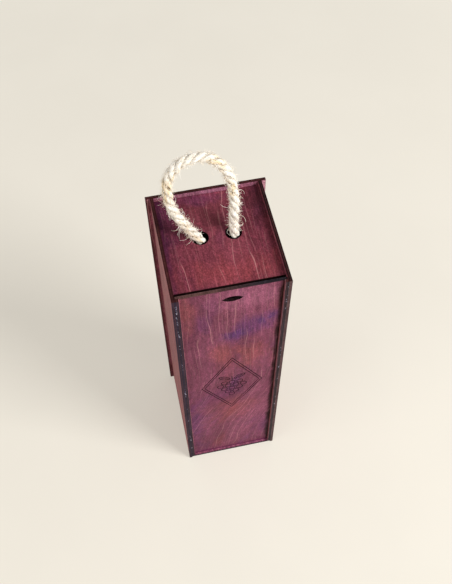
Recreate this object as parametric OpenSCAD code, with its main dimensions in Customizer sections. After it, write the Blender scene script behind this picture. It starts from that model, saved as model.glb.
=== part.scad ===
// Upright gift box for one wine bottle, glued together from thin plywood.
// The front is a lid that slides up out of a groove. The handle is a rope
// that passes through two holes in the top and is knotted underneath.
//
// X runs to the right, Y to the back and Z up, in millimetres. The origin
// lies in the middle of the footprint, on the surface the box stands on.

/* [Box] */
// Width across the outer faces of the two sides
box_w = 100; // [80:1:160]
// Depth from the front edges of the sides to the back of the back panel
box_d = 112; // [90:1:180]
// Height of the sides and the back panel
box_h = 346; // [240:1:480]
// Thickness of the plywood that every panel is cut from
ply = 3; // [2:0.5:5]
// How far the back panel stands out past each side
back_lip = 4; // [0:0.5:12]

/* [Top and bottom panels] */
// Drop from the top edges of the sides to the top panel
top_recess = 5; // [0:0.5:20]
// Gap between the back of the lid and the front edge of the top panel
top_gap = 4.2; // [1:0.1:8]
// How far the front edge of the bottom panel stands behind the sides
bottom_setback = 0.8; // [0:0.1:2]

/* [Groove for the lid] */
// Width of the strip in front of the lid, seen from the front
strip_w = 3; // [2:0.5:8]
// Depth, front to back, of the rail behind the lid
rail_d = 10; // [9:0.5:20]
// Play between the lid and the strips, and between the lid and the rails
lid_play = 0.25; // [0.1:0.05:0.8]
// Play between each edge of the lid and the side next to it
lid_edge_play = 0.5; // [0.2:0.1:1.5]
// Gap between the foot of the lid and the bottom panel
lid_foot_play = 0.2; // [0.1:0.1:1]
// Drop from the top edges of the sides to the top edge of the lid
lid_drop = 1.6; // [0:0.1:5]

/* [Finger slot] */
// Length of the finger slot
slot_w = 18.5; // [12:0.5:40]
// Height of the finger slot at its middle
slot_h = 7.4; // [5:0.1:12]
// Distance from the top edge of the lid down to the middle of the slot
slot_drop = 13.9; // [10:0.1:30]
// How far the slot and the engraving lie to the right of the middle
slot_shift = 0.8; // [-5:0.1:5]

/* [Engraving] */
// Width of the engraved lozenge
lozenge_w = 62; // [52:1:74]
// Height of the engraved lozenge
lozenge_h = 112; // [92:1:150]
// How far the lozenge lies above the middle of the lid, negative for below
lozenge_lift = -3; // [-20:1:20]
// Distance between the two lines of the lozenge
lozenge_gap = 2.4; // [1.5:0.1:4]
// Width of an engraved line
line_w = 0.9; // [0.6:0.1:1.3]
// Depth of the engraving
line_depth = 0.4; // [0.2:0.1:0.8]
// How far the first row of berries lies above the middle of the lozenge
bunch_lift = 4; // [-4:0.5:8]
// Diameter of one engraved berry
berry_d = 7; // [4:0.2:7.6]
// Gap between one berry and the next
berry_gap = 0.8; // [0.4:0.1:1.5]
// Length of an engraved leaf
leaf_l = 15; // [8:1:18]
// Width of an engraved leaf at its middle
leaf_w = 6.4; // [4:0.2:8]
// Angle between a leaf and the level
leaf_turn = 35; // [20:1:50]
// Gap between each tip of a leaf and the vein along its middle
vein_gap = 3; // [2:0.5:4]
// Length of the stem that the bunch of berries hangs from
stem_l = 10; // [6:1:16]

/* [Rope handle] */
// Diameter of the rope
rope_d = 8.5; // [6:0.5:11]
// How much wider than the rope each hole is
hole_play = 6; // [5:0.5:8]
// Width of the wood between the two holes
hole_gap = 14.3; // [10:0.1:20]
// How far the holes lie behind the middle of the top panel
hole_shift = 2.2; // [-10:0.1:10]
// How far a knot reaches past the edge of its hole
knot_reach = 3.75; // [3:0.25:4.5]
// Height of a knot
knot_h = 23; // [14:1:28]
// Length of the rope's tail below its knot
tail_l = 7; // [4:1:20]

/* [Hidden] */

panel_red = [0.53, 0.25, 0.30];
lid_plum = [0.55, 0.30, 0.37];
burnt_edge = [0.24, 0.20, 0.23];
rope_cream = [0.93, 0.86, 0.72];

// How far a cut runs past the face that it opens through
cut_past = 1;

// Faces across the depth, from front to back
front_y = -box_d / 2;
lid_y = front_y + ply + lid_play;
rail_y = lid_y + ply + lid_play;
top_y = lid_y + ply + top_gap;
back_y = box_d / 2 - ply;

// Space between the two sides, and the depth of a side
inner_w = box_w - 2 * ply;
side_d = box_d - ply;

// Upper and lower faces of the top panel
top_z = box_h - top_recess;
under_z = top_z - ply;

lid_w = inner_w - 2 * lid_edge_play;
lid_z = ply + lid_foot_play;
lid_h = box_h - lid_drop - lid_z;
slot_z = lid_h - slot_drop;
lozenge_z = lid_h / 2 + lozenge_lift;

// The rope holes
hole_d = rope_d + hole_play;
hole_x = (hole_d + hole_gap) / 2;
hole_y = (top_y + back_y) / 2 + hole_shift;

// A knot bears on the top panel with a flat ring round its hole
knot_d = hole_d + 2 * knot_reach;
knot_seat = 1;
knot_top_r = knot_reach - knot_seat;
knot_low_r = (knot_d - rope_d) / 2;

// Rows of berries, from the stem to the tip of the bunch
berry_rows = [3, 4, 3, 2, 1];

// The middle of the rope. Each leg is measured from the middle of its own
// hole, at the upper face of the top panel, and both start on their knots.
left_leg = [
    [0.5, -1, -ply], [-2, 0, 1], [-7, 2.5, 7.5], [-11.5, 5, 14.5],
    [-16, 7.5, 21], [-19.5, 10, 28.5], [-22, 13, 36], [-22.5, 16, 44],
    [-22, 19, 52], [-19.5, 21.5, 59], [-14.5, 23.5, 65], [-7.5, 25, 69],
    [1, 25.5, 71]
];
right_leg = [
    [1, -1, -ply], [1, 0.5, 1], [1, 2.5, 5.5], [1.5, 5.5, 14],
    [2.5, 8.5, 22.5], [3, 11.5, 31], [2.5, 15, 39.5], [1.5, 18, 48],
    [-1.5, 20.5, 55.5], [-6, 22.5, 62.5], [-12.5, 24.5, 68], [-20, 25.5, 71]
];
rope_route = concat(
    [for (p = left_leg) p - [hole_x, 0, 0]],
    [for (i = [len(right_leg) - 1 : -1 : 0]) right_leg[i] + [hole_x, 0, 0]]
);
rope_sides = 12;

// A sheet whose lowest corner in x, y and z is at from
module sheet(from, size) {
    translate(from) cube(size);
}

module back_panel() {
    color(panel_red)
        sheet([-box_w / 2 - back_lip, back_y, 0],
              [box_w + 2 * back_lip, ply, box_h]);
}

module side(x) {
    color(panel_red) sheet([x, front_y, 0], [ply, side_d, box_h]);
}

module left_side() {
    side(-box_w / 2);
}

module right_side() {
    side(box_w / 2 - ply);
}

module bottom_panel() {
    color(panel_red)
        sheet([-inner_w / 2, front_y + bottom_setback, 0],
              [inner_w, side_d - bottom_setback, ply]);
}

module top_panel() {
    color(panel_red)
        difference() {
            sheet([-inner_w / 2, top_y, under_z],
                  [inner_w, back_y - top_y, ply]);
            for (x = [-hole_x, hole_x])
                translate([x, hole_y, under_z - cut_past])
                    cylinder(d = hole_d, h = ply + 2 * cut_past, $fn = 64);
        }
}

// A strip in front of the lid stands on the bottom panel, beside its side
module front_strip(x) {
    color(burnt_edge)
        sheet([x, front_y, ply], [strip_w, ply, box_h - ply]);
}

module left_front_strip() {
    front_strip(-inner_w / 2);
}

module right_front_strip() {
    front_strip(inner_w / 2 - strip_w);
}

// A rail behind the lid reaches from the bottom panel to the top panel
module inner_rail(x) {
    color(panel_red) sheet([x, rail_y, ply], [ply, rail_d, under_z - ply]);
}

module left_inner_rail() {
    inner_rail(-inner_w / 2);
}

module right_inner_rail() {
    inner_rail(inner_w / 2 - ply);
}

// Radius of the two arcs that bound a lens of this length and height
function lens_r(length, height) =
    (length * length + height * height) / (4 * height);

// A lens with its points to the left and right, its arcs drawn in by inset
module lens(length, height, inset = 0) {
    r = lens_r(length, height);
    intersection() {
        translate([0, r - height / 2]) circle(r - inset, $fn = 96);
        translate([0, height / 2 - r]) circle(r - inset, $fn = 96);
    }
}

// A lozenge with each of its four sides drawn in by inset
module lozenge(inset) {
    half = [lozenge_w / 2, lozenge_h / 2];
    rest = 1 - inset * norm(half) / (half.x * half.y);
    scale(rest)
        polygon([[-half.x, 0], [0, -half.y], [half.x, 0], [0, half.y]]);
}

module lozenge_line(inset) {
    difference() {
        lozenge(inset);
        lozenge(inset + line_w);
    }
}

module berry() {
    difference() {
        circle(d = berry_d, $fn = 48);
        circle(d = berry_d - 2 * line_w, $fn = 48);
    }
}

// A bunch of berries with the middle of its first row at the origin
module bunch() {
    pitch = berry_d + berry_gap;
    for (row = [0 : len(berry_rows) - 1])
        for (i = [0 : berry_rows[row] - 1])
            translate([(i - (berry_rows[row] - 1) / 2) * pitch,
                       -row * pitch * sin(60)])
                berry();
}

// A leaf grows to the right from the origin, with a vein along its middle
module leaf() {
    translate([leaf_l / 2, 0]) {
        difference() {
            lens(leaf_l, leaf_w);
            lens(leaf_l, leaf_w, line_w);
        }
        square([leaf_l - 2 * vein_gap, line_w], center = true);
    }
}

// A hanging bunch under two leaves, in a lozenge of two lines. The foot of
// the stem lies half a line deep in the line of the berry under it.
module engraving() {
    bunch_top = bunch_lift + berry_d / 2;
    lozenge_line(0);
    lozenge_line(lozenge_gap);
    translate([0, bunch_lift]) bunch();
    translate([-line_w / 2, bunch_top - line_w / 2]) square([line_w, stem_l]);
    for (turn = [leaf_turn, 180 - leaf_turn])
        translate([0, bunch_top + 2 * line_w])
            rotate(turn)
                translate([2 * line_w, 0])
                    leaf();
}

module sliding_lid() {
    color(lid_plum)
        translate([0, lid_y, lid_z])
            difference() {
                sheet([-lid_w / 2, 0, 0], [lid_w, ply, lid_h]);
                translate([slot_shift, ply + cut_past, slot_z])
                    rotate([90, 0, 0])
                        linear_extrude(ply + 2 * cut_past)
                            lens(slot_w, slot_h);
                translate([slot_shift, line_depth, lozenge_z])
                    rotate([90, 0, 0])
                        linear_extrude(line_depth + cut_past) engraving();
            }
}

// Direction of the rope at point i; it meets both knots square on
function rope_way(i) =
    i == 0 ? [0, 0, 1]
    : i == len(rope_route) - 1 ? [0, 0, -1]
    : rope_route[i + 1] - rope_route[i - 1];

function unit(v) = v / norm(v);

// The ring of the rope's surface round point i
function rope_ring(i) =
    let (way = unit(rope_way(i)),
         out = unit(cross([0, 1, 0], way)),
         along = cross(way, out))
    [for (k = [0 : rope_sides - 1])
        let (turn = 360 * k / rope_sides)
        rope_route[i] + rope_d / 2 * (cos(turn) * out + sin(turn) * along)];

module rope_handle() {
    last = len(rope_route) - 1;
    points = [for (i = [0 : last]) each rope_ring(i)];
    walls = [for (i = [0 : last - 1], k = [0 : rope_sides - 1])
        let (a = i * rope_sides + k,
             b = i * rope_sides + (k + 1) % rope_sides)
        each [[a, a + rope_sides, b], [b, a + rope_sides, b + rope_sides]]];
    first_end = [for (k = [0 : rope_sides - 1]) k];
    last_end = [for (k = [rope_sides - 1 : -1 : 0]) last * rope_sides + k];
    color(rope_cream)
        translate([0, hole_y, top_z])
            polyhedron(points, concat(walls, [first_end, last_end]));
}

// Half of the outline of a knot and its tail, with its seat at height 0
module knot_outline() {
    intersection() {
        translate([0, -knot_h - tail_l]) square([knot_d / 2, knot_h + tail_l]);
        union() {
            translate([0, -knot_h - tail_l])
                square([rope_d / 2, knot_h + tail_l]);
            translate([rope_d / 2, knot_low_r - knot_h])
                circle(knot_low_r, $fn = 64);
            translate([0, knot_low_r - knot_h])
                square([knot_d / 2, knot_h - knot_low_r - knot_top_r]);
            translate([0, -knot_top_r])
                square([knot_d / 2 - knot_top_r, knot_top_r]);
            translate([knot_d / 2 - knot_top_r, -knot_top_r])
                circle(knot_top_r, $fn = 48);
        }
    }
}

// A knot drawn up against the top panel, round the hole at x
module rope_knot(x) {
    color(rope_cream)
        translate([x, hole_y, under_z])
            rotate_extrude($fn = 64) knot_outline();
}

module left_rope_knot() {
    rope_knot(-hole_x);
}

module right_rope_knot() {
    rope_knot(hole_x);
}

back_panel();
left_side();
right_side();
bottom_panel();
top_panel();
left_front_strip();
right_front_strip();
left_inner_rail();
right_inner_rail();
sliding_lid();
rope_handle();
left_rope_knot();
right_rope_knot();
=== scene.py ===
"""The looks of an upright plywood box for one wine bottle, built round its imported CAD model.

Lengths are in millimetres unless a comment says metres. Colours are written
as they look on a screen, from 0 to 255.
"""

import math
import random

import bmesh
import bpy
import numpy as np
from mathutils import Matrix, Vector


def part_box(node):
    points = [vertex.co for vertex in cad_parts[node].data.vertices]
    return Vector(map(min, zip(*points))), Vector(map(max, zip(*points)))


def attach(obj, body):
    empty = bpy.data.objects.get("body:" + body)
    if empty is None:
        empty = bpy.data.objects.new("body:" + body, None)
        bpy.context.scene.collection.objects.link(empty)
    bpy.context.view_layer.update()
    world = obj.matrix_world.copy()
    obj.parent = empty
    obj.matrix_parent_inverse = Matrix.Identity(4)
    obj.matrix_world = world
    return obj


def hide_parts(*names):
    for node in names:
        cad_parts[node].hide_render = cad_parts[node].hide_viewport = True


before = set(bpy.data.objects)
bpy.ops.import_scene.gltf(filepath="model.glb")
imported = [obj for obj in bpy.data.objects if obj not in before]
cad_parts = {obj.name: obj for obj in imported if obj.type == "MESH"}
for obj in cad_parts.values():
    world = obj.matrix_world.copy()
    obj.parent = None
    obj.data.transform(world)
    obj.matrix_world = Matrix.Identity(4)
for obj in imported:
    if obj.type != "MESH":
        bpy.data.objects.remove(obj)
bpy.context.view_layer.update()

MM = 0.001


# Camera

# Angles in degrees
CAMERA_PLACE = (-72.4, -375.6, 859.5)
CAMERA_AZIMUTH = -11.83
CAMERA_ELEVATION = 57.456
CAMERA_ROLL = -0.33
LENS = 46.85
SENSOR = 36.0
CAMERA_NEAR = 10.0
CAMERA_FAR = 50000.0


def make_camera():
    """The photograph's own viewpoint, found from the corners of the box."""
    azimuth = math.radians(CAMERA_AZIMUTH)
    elevation = math.radians(CAMERA_ELEVATION)
    roll = math.radians(CAMERA_ROLL)
    level = math.cos(elevation)
    ahead = Vector((-math.sin(azimuth) * level, math.cos(azimuth) * level, -math.sin(elevation)))
    flat_right = Vector((math.cos(azimuth), math.sin(azimuth), 0))
    flat_up = flat_right.cross(ahead)
    right = math.cos(roll) * flat_right + math.sin(roll) * flat_up
    up = right.cross(ahead)
    data = bpy.data.cameras.new("camera")
    data.lens = LENS
    data.sensor_width = SENSOR
    data.clip_start = CAMERA_NEAR * MM
    data.clip_end = CAMERA_FAR * MM
    camera = bpy.data.objects.new("camera", data)
    bpy.context.scene.collection.objects.link(camera)
    turn = Matrix((right, up, -ahead)).transposed().to_4x4()
    camera.matrix_world = Matrix.Translation(Vector(CAMERA_PLACE) * MM) @ turn
    bpy.context.scene.camera = camera


# Rope

# The rope is drawn tighter, and so thinner, in its knots
ROPE_D = 8.5
KNOT_ROPE_D = 7.7

TOP_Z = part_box("top_panel")[1].z / MM
UNDER_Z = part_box("top_panel")[0].z / MM
KNOT_LOW, KNOT_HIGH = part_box("right_rope_knot")
HOLE_X = (KNOT_LOW.x + KNOT_HIGH.x) / 2 / MM
HOLE_Y = (KNOT_LOW.y + KNOT_HIGH.y) / 2 / MM
PLY = TOP_Z - UNDER_Z

# The middle of the rope. Each leg is measured from the middle of its own
# hole, at the upper face of the top panel, and starts at its knot below it.
LEFT_LEG = [
    (0.5, -1, -PLY), (-2, 0, 1), (-7, 2.5, 7.5), (-11.5, 5, 14.5), (-16, 7.5, 21),
    (-19.5, 10, 28.5), (-22, 13, 36), (-22.5, 16, 44), (-22, 19, 52), (-19.5, 21.5, 59),
    (-14.5, 23.5, 65), (-7.5, 25, 69), (1, 25.5, 71),
]
RIGHT_LEG = [
    (1, -1, -PLY), (1, 0.5, 1), (1, 2.5, 5.5), (1.5, 5.5, 14), (2.5, 8.5, 22.5),
    (3, 11.5, 31), (2.5, 15, 39.5), (1.5, 18, 48), (-1.5, 20.5, 55.5), (-6, 22.5, 62.5),
    (-12.5, 24.5, 68), (-20, 25.5, 71),
]

# Half of an overhand knot, from the strand that comes down its middle to the
# outermost bend. The other half is the same, turned half round the X axis.
HALF_KNOT = [
    (2.4, -1, 8), (2, 0.2, 4.5), (0.4, 2.8, 2), (-2.5, 3.4, -0.5), (-4.5, 2, -3.6),
    (-4.6, -0.8, -6.4), (-2.8, -3.7, -8.3), (0.6, -5.8, -8.7), (4.4, -6.1, -7.7),
    (7.3, -4.8, -5.3), (8.4, -2.6, -2.5), (8.6, 0, 0),
]
KNOT_SQUAT = 0.88
KNOT_MIDDLE_DROP = 11.5
TAIL_DROP = 29.5

# Turns in degrees of the two knots about their strands
LEFT_KNOT_TURN = 0
RIGHT_KNOT_TURN = 160

# The lay: length of one full twist, and the strands' own radius and distance
# from the middle, both as shares of the rope's radius
LAY_LENGTH = 24.0
STRANDS = 3
STRAND_R = 0.63
STRAND_OFFSET = 0.37

# The mesh: points round the rope and distance between its rings
ROPE_SIDES = 48
RING_STEP = 0.6

# Swellings along the rope: share of its radius, and radians per millimetre
SWELLS = ((0.03, 0.43), (0.02, 1.1), (0.025, 1.9))

# Fine ridges: height, wave, and for each set its number round the rope, drift
# in radians per millimetre and share of the height
RIDGE_HEIGHT = 0.22
RIDGE_WAVE = 2.4
RIDGES = ((9, 0.11, 0.30), (16, -0.19, 0.28), (25, 0.31, 0.24), (37, -0.47, 0.18))

# The cut ends of the tails spread over their last few millimetres
FLARE = 0.28
FLARE_LENGTH = 5.0


def knot_route(turn):
    """Points of one knot from its strand in the hole down to its tail, turned about that strand."""
    lower = [(x, -y, -z) for x, y, z in reversed(HALF_KNOT[:-1])]
    strand = Vector((HALF_KNOT[0][0], HALF_KNOT[0][1], 0))
    spin = Matrix.Rotation(math.radians(turn), 3, "Z")
    route = []
    for x, y, z in HALF_KNOT + lower:
        place = spin @ (Vector((x, y, z * KNOT_SQUAT)) - strand)
        route.append(place - Vector((0, 0, KNOT_MIDDLE_DROP)))
    tail = route[-1].copy()
    tail.z = -TAIL_DROP
    route.append(tail)
    return route


def whole_route():
    """The rope's middle from tail to tail, and the two points where it leaves its knots."""
    legs = []
    for side, leg, turn in ((-1, LEFT_LEG, LEFT_KNOT_TURN), (1, RIGHT_LEG, RIGHT_KNOT_TURN)):
        hole = Vector((side * HOLE_X, HOLE_Y, TOP_Z))
        free = [Vector(p) + hole for p in leg]
        below = [p + free[0] for p in knot_route(turn)]
        legs.append((free, below))
    (left, left_below), (right, right_below) = legs
    points = left_below[::-1] + left + right[::-1] + right_below
    first = len(left_below)
    last = first + len(left) + len(right) - 1
    return np.array(points), first, last


def spline(points, step):
    """A smooth curve through points, sampled every step, and the sample at each point."""
    gaps = np.linalg.norm(np.diff(points, axis=0), axis=1)
    ends = np.vstack((2 * points[0] - points[1], points, 2 * points[-1] - points[-2]))
    samples = []
    marks = [0]
    for i, gap in enumerate(gaps):
        p0, p1, p2, p3 = ends[i:i + 4]
        t1 = np.linalg.norm(p1 - p0) ** 0.5
        t2 = t1 + gap ** 0.5
        t3 = t2 + np.linalg.norm(p3 - p2) ** 0.5
        count = max(2, round(gap / step))
        for t in np.linspace(t1, t2, count, endpoint=False):
            a1 = p0 + (p1 - p0) * t / t1
            a2 = p1 + (p2 - p1) * (t - t1) / (t2 - t1)
            a3 = p2 + (p3 - p2) * (t - t2) / (t3 - t2)
            b1 = a1 + (a2 - a1) * t / t2
            b2 = a2 + (a3 - a2) * (t - t1) / (t3 - t1)
            samples.append(b1 + (b2 - b1) * (t - t1) / (t2 - t1))
        marks.append(len(samples))
    samples.append(points[-1])
    return np.array(samples), marks


def frames_along(centres):
    """Directions along and across a curve that turn no more than the curve itself does."""
    ways = np.gradient(centres, axis=0)
    ways /= np.linalg.norm(ways, axis=1)[:, None]
    side = np.cross(ways[0], (0.0, 1.0, 0.0))
    sides = []
    for way in ways:
        side = side - way * (side @ way)
        side = side / np.linalg.norm(side)
        sides.append(side)
    sides = np.array(sides)
    return ways, sides, np.cross(ways, sides)


class Rope:
    """The whole rope as one line with its thickness and its twist at every sample."""

    def __init__(self):
        points, first, last = whole_route()
        self.centres, marks = spline(points, RING_STEP)
        self.leaves = (marks[first], marks[last])
        self.ways, self.sides, self.others = frames_along(self.centres)
        steps = np.linalg.norm(np.diff(self.centres, axis=0), axis=1)
        self.along = np.concatenate(([0.0], np.cumsum(steps)))
        self.twist = -2 * math.pi * self.along / LAY_LENGTH
        outside = np.minimum(
            self.along - self.along[self.leaves[0]], self.along[self.leaves[1]] - self.along
        )
        share = np.clip(outside / ROPE_D + 0.5, 0, 1)
        share = share * share * (3 - 2 * share)
        self.radius = (KNOT_ROPE_D + (ROPE_D - KNOT_ROPE_D) * share) / 2
        ends = np.minimum(self.along, self.along[-1] - self.along)
        self.flare = np.clip(1 - ends / FLARE_LENGTH, 0, 1) ** 2

    def point(self, i, angle, radius):
        """The point at that angle and distance from the rope's middle."""
        out = math.cos(angle) * self.sides[i] + math.sin(angle) * self.others[i]
        return self.centres[i] + radius * out, out


def strand_outline(angle):
    """Distance of the strands' common outline from the middle of a rope of radius 1."""
    sector = 2 * math.pi / STRANDS
    off = (angle + sector / 2) % sector - sector / 2
    return STRAND_OFFSET * np.cos(off) + np.sqrt(STRAND_R ** 2 - (STRAND_OFFSET * np.sin(off)) ** 2)


def fibre_ridges(angle, along):
    """Fine ridges that run along the rope, from -1 to 1."""
    ridges = np.zeros_like(angle)
    for count, drift, share in RIDGES:
        wave = RIDGE_WAVE * np.sin(drift * along + count)
        ridges += share * np.sin(count * angle + wave + drift * along)
    return ridges


def unevenness(angle, along):
    """The rope's swellings, as a factor near 1."""
    (first, first_beat), (second, second_beat), (third, third_beat) = SWELLS
    uneven = 1 + first * np.sin(first_beat * along + 2 * np.sin(angle))
    uneven += second * np.sin(second_beat * along)
    uneven += third * np.sin(third_beat * along + 3 * np.sin(2 * angle + 0.3 * along))
    return uneven


def tube_faces(count):
    """Faces of a closed tube of count rings. The middles of its two ends follow the rings."""
    faces = []
    for i in range(count - 1):
        for k in range(ROPE_SIDES):
            a = i * ROPE_SIDES + k
            b = i * ROPE_SIDES + (k + 1) % ROPE_SIDES
            faces.append((a, b, b + ROPE_SIDES, a + ROPE_SIDES))
    first_middle = count * ROPE_SIDES
    last_ring = first_middle - ROPE_SIDES
    for k in range(ROPE_SIDES):
        after = (k + 1) % ROPE_SIDES
        faces.append((after, k, first_middle))
        faces.append((last_ring + k, last_ring + after, first_middle + 1))
    return faces


def rope_piece(name, rope, start, end):
    """A closed tube of twisted strands from one sample of the rope to another.

    Its attribute straight is each point's place in the rope pulled straight,
    and valley is 0 on the crests of the strands and 1 between them.
    """
    turns = np.linspace(0, 2 * math.pi, ROPE_SIDES, endpoint=False)
    lay, at = np.meshgrid(turns, np.arange(start, end + 1))
    angle = lay + rope.twist[at]
    along = rope.along[at]
    outline = strand_outline(lay)
    depth = 1 - outline / (STRAND_R + STRAND_OFFSET)
    radius = rope.radius[at] * outline * unevenness(angle, along)
    radius = (radius + RIDGE_HEIGHT * fibre_ridges(angle, along)) * (1 + FLARE * rope.flare[at])
    out = np.cos(angle)[..., None] * rope.sides[at] + np.sin(angle)[..., None] * rope.others[at]
    points = rope.centres[at] + radius[..., None] * out
    middles = (rope.centres[start], rope.centres[end])
    vertices = np.vstack((points.reshape(-1, 3), middles))
    straight = np.stack((radius * np.cos(angle), radius * np.sin(angle), along), axis=-1)
    straight = np.vstack((straight.reshape(-1, 3), (0, 0, along[0, 0]), (0, 0, along[-1, 0])))
    valley = np.append(depth.ravel() / depth.max(), (1.0, 1.0))
    mesh = bpy.data.meshes.new(name)
    mesh.from_pydata((vertices * MM).tolist(), [], tube_faces(len(points)))
    mesh.polygons.foreach_set("use_smooth", [True] * len(mesh.polygons))
    lies = mesh.attributes.new("straight", "FLOAT_VECTOR", "POINT")
    lies.data.foreach_set("vector", straight.ravel())
    mesh.attributes.new("valley", "FLOAT", "POINT").data.foreach_set("value", valley)
    return link(name, mesh)


def link(name, mesh):
    """A new object in the scene that shows mesh."""
    mesh.update()
    made = bpy.data.objects.new(name, mesh)
    bpy.context.scene.collection.objects.link(made)
    return made


# Loose fibres on the rope

FIBRE_SEED = 7

# Short fuzz and long hairs: number, half thickness, lengths, steps along a
# fibre, and the most that it turns at each step, in radians
FUZZ_COUNT = 1900
FUZZ_R = 0.115
FUZZ_LENGTHS = (2.4, 5.2)
FUZZ_STEPS = 3
FUZZ_CURL = 0.5
HAIR_COUNT = 140
HAIR_R = 0.17
HAIR_LENGTHS = (5.0, 12.5)
HAIR_STEPS = 12
HAIR_CURL = 0.36

# Share of places with a hair: anywhere, and more near the foot of a leg, over
# about HAIR_REACH of height
HAIR_ANYWHERE = 0.15
HAIR_REACH = 30

# Roots lie inside the rope, at ROOT_DEPTH of its radius. Roots and fibres
# keep a little above the top panel.
ROOT_DEPTH = 0.72
ROOT_CLEAR = 1.5
FIBRE_CLEAR = 0.3

# A fibre's thickness at its root and its loss at the tip, its way out of the
# rope, along it and round it, and its shares of the curl
FIBRE_ROOT = 1.15
FIBRE_TAPER = 0.75
FIBRE_OUTWARD = (0.5, 1.1)
FIBRE_ALONG = (-1.3, 1.3)
FIBRE_ROUND = (-1, 1)
FIBRE_CURLS = (0.2, 1.0)


def fibre(points, thick):
    """Vertices and faces of one thin fibre along points, three-sided and drawn to a tip."""
    points = np.array(points)
    _, sides, others = frames_along(points)
    vertices = []
    last = len(points) - 1
    for i, centre in enumerate(points):
        radius = thick * (FIBRE_ROOT - FIBRE_TAPER * i / last)
        for k in range(3):
            angle = 2 * math.pi * k / 3
            out = math.cos(angle) * sides[i] + math.sin(angle) * others[i]
            vertices.append(centre + radius * out)
    faces = [(2, 1, 0), (3 * last, 3 * last + 1, 3 * last + 2)]
    for i in range(last):
        for k in range(3):
            a = 3 * i + k
            b = 3 * i + (k + 1) % 3
            faces.append((a, b, b + 3, a + 3))
    return vertices, faces


def fibre_path(rope, i, length, steps, curl, dice):
    """A path that leaves the rope at sample i on any side of it and curls as it goes."""
    place, out = rope.point(i, dice.uniform(0, 2 * math.pi), rope.radius[i] * ROOT_DEPTH)
    around = np.cross(rope.ways[i], out)
    way = out * dice.uniform(*FIBRE_OUTWARD)
    way = way + rope.ways[i] * dice.uniform(*FIBRE_ALONG)
    way = way + around * dice.uniform(*FIBRE_ROUND)
    way = Vector(way).normalized()
    tilt = Vector([dice.gauss(0, 1) for _ in range(3)])
    axis = (tilt - 0.8 * way * tilt.dot(way)).normalized()
    turn = Matrix.Rotation(curl * dice.uniform(*FIBRE_CURLS), 3, axis)
    place = Vector(place)
    points = [place.copy()]
    for _ in range(steps):
        place = place + way * (length / steps)
        place.z = max(place.z, TOP_Z + FIBRE_CLEAR)
        points.append(place.copy())
        way = turn @ way
    return points


def fuzz(rope, i, dice):
    """A short fibre, found all along the rope."""
    return fibre(fibre_path(rope, i, dice.uniform(*FUZZ_LENGTHS), FUZZ_STEPS, FUZZ_CURL, dice), FUZZ_R)


def hair(rope, i, dice):
    """A long curled fibre, found mostly near the foot of each leg."""
    height = rope.centres[i][2] - TOP_Z
    if dice.random() > HAIR_ANYWHERE + (1 - HAIR_ANYWHERE) * math.exp(-height / HAIR_REACH):
        return None
    return fibre(fibre_path(rope, i, dice.uniform(*HAIR_LENGTHS), HAIR_STEPS, HAIR_CURL, dice), HAIR_R)


def rope_fibres(rope):
    """The loose fibres of the free rope, as one mesh."""
    dice = random.Random(FIBRE_SEED)
    start, end = rope.leaves
    vertices = []
    faces = []
    for count, make in ((FUZZ_COUNT, fuzz), (HAIR_COUNT, hair)):
        made = 0
        while made < count:
            i = dice.randrange(start, end)
            if rope.centres[i][2] < TOP_Z + ROOT_CLEAR:
                continue
            one = make(rope, i, dice)
            if one is None:
                continue
            base = len(vertices)
            vertices.extend(one[0])
            faces.extend(tuple(base + v for v in face) for face in one[1])
            made += 1
    mesh = bpy.data.meshes.new("rope_fibres")
    mesh.from_pydata((np.array(vertices) * MM).tolist(), [], faces)
    return link("rope_fibres", mesh)


def make_rope():
    """The rope, its two knots and its loose fibres, each as a piece of its own."""
    rope = Rope()
    start, end = rope.leaves
    handle = rope_piece("rope", rope, start, end)
    left = rope_piece("left_knot", rope, 0, start)
    right = rope_piece("right_knot", rope, end, len(rope.centres) - 1)
    hairs = rope_fibres(rope)
    for piece in (handle, left, right, hairs):
        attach(piece, "box")
    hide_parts("rope_handle")
    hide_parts("left_rope_knot")
    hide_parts("right_rope_knot")
    return handle, left, right, hairs


# Dried glue along the seams between the sides and their front strips

GLUE_SEED = 11

# Side of the box, lowest and highest place, and number of flecks
GLUE_RUNS = (
    (-1, 284, 343, 17), (-1, 210, 280, 7), (-1, 165, 188, 8), (-1, 12, 160, 7),
    (1, 300, 343, 6), (1, 60, 280, 9),
)

# A fleck's distance from the seam, its spread, its depth in the wood, and its
# half sizes across the seam, out of the wood and along the seam
GLUE_INSET = 0.3
GLUE_SPREAD = 0.3
GLUE_SUNK = 0.06
GLUE_HALF_WIDE = (0.12, 0.30)
GLUE_HALF_THICK = (0.10, 0.20)
GLUE_HALF_SHORT = 0.4
GLUE_HALF_LONGER = 2.2
GLUE_LEAN = 0.25
GLUE_ROUGH = 0.16


def fleck(mesh, place, half, dice):
    """Adds to mesh one lump of glue, flat where it lies on the wood."""
    start = len(mesh.verts)
    bmesh.ops.create_icosphere(mesh, subdivisions=2, radius=1.0)
    mesh.verts.ensure_lookup_table()
    lean = dice.uniform(-GLUE_LEAN, GLUE_LEAN)
    for vertex in mesh.verts[start:]:
        rough = 1 + dice.uniform(-GLUE_ROUGH, GLUE_ROUGH)
        x = vertex.co.x * half[0] * rough + vertex.co.z * half[2] * lean
        y = max(vertex.co.y * half[1] * rough, -GLUE_SUNK)
        z = vertex.co.z * half[2] * rough
        vertex.co = Vector((place[0] + x, place[1] - y, place[2] + z)) * MM


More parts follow.
